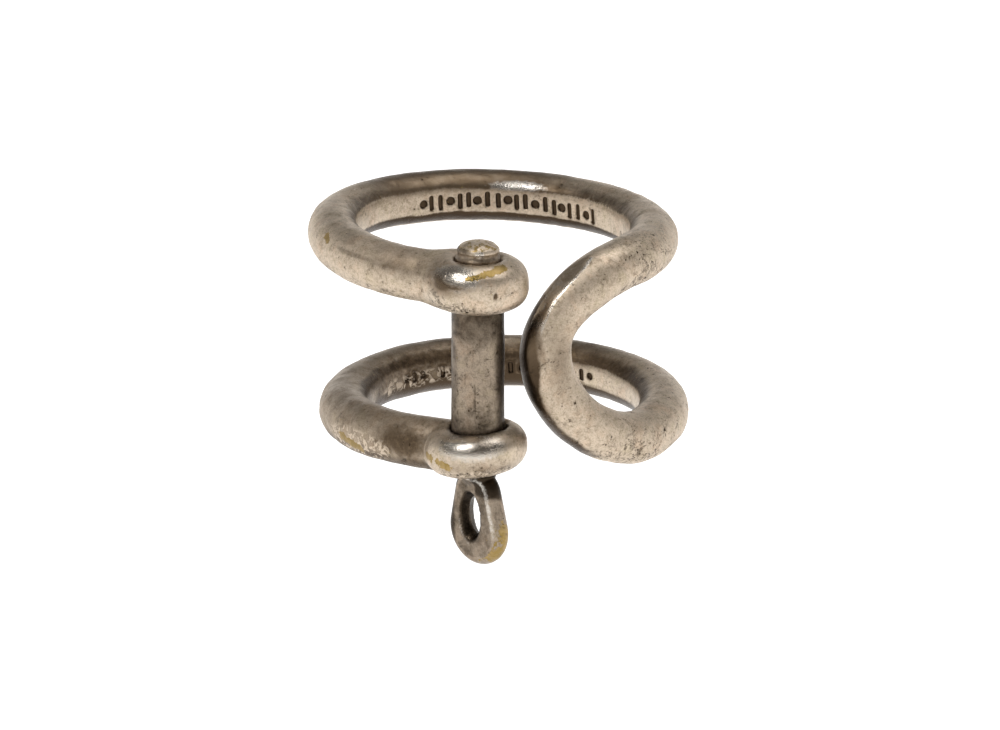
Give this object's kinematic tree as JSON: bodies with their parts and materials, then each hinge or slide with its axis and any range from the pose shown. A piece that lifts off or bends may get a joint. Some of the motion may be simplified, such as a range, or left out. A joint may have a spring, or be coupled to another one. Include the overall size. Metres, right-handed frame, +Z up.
{
  "type": "finger ring",
  "caption": "Finger ring shaped like a bow shackle: a bent rod wraps round the finger as an upper and a lower band and a screw pin with an eye closes it.",
  "frame": {"origin": "middle of the finger hole, halfway between the two bands", "axes": "+Z up the finger along the pin, -Y towards the front where the pin stands, +X to the right as seen from the front"},
  "size_m": [0.0254, 0.0268, 0.022],
  "materials": {
    "bow": "antiqued silver plate, worn to the brass in patches",
    "pin": "dull antiqued silver plate, worn to the brass on the eye and the domed head"
  },
  "bodies": {
    "bow": {"upper_band": "bow", "lower_band": "bow", "front_bend": "bow", "upper_ear": "bow", "lower_ear": "bow"},
    "pin_middle": {"pin_shank": "pin"},
    "pin_ends": {"pin_thread": "pin", "pin_eye": "pin"}
  },
  "joints": [
    {"name": "pin_travel", "type": "slide", "parent": "bow", "child": "pin_middle", "axis": [0, 0, -1], "range_m": [0, 0.016]},
    {"name": "pin_turn", "type": "hinge", "parent": "pin_middle", "child": "pin_ends", "pos_m": [-0.00135, -0.01112, 0], "axis": [0, 0, -1], "range_deg": [0, 11520]}
  ],
  "couplings": [
    {"joint": "pin_turn", "follows": "pin_travel", "rad_per_m": 12566}
  ]
}
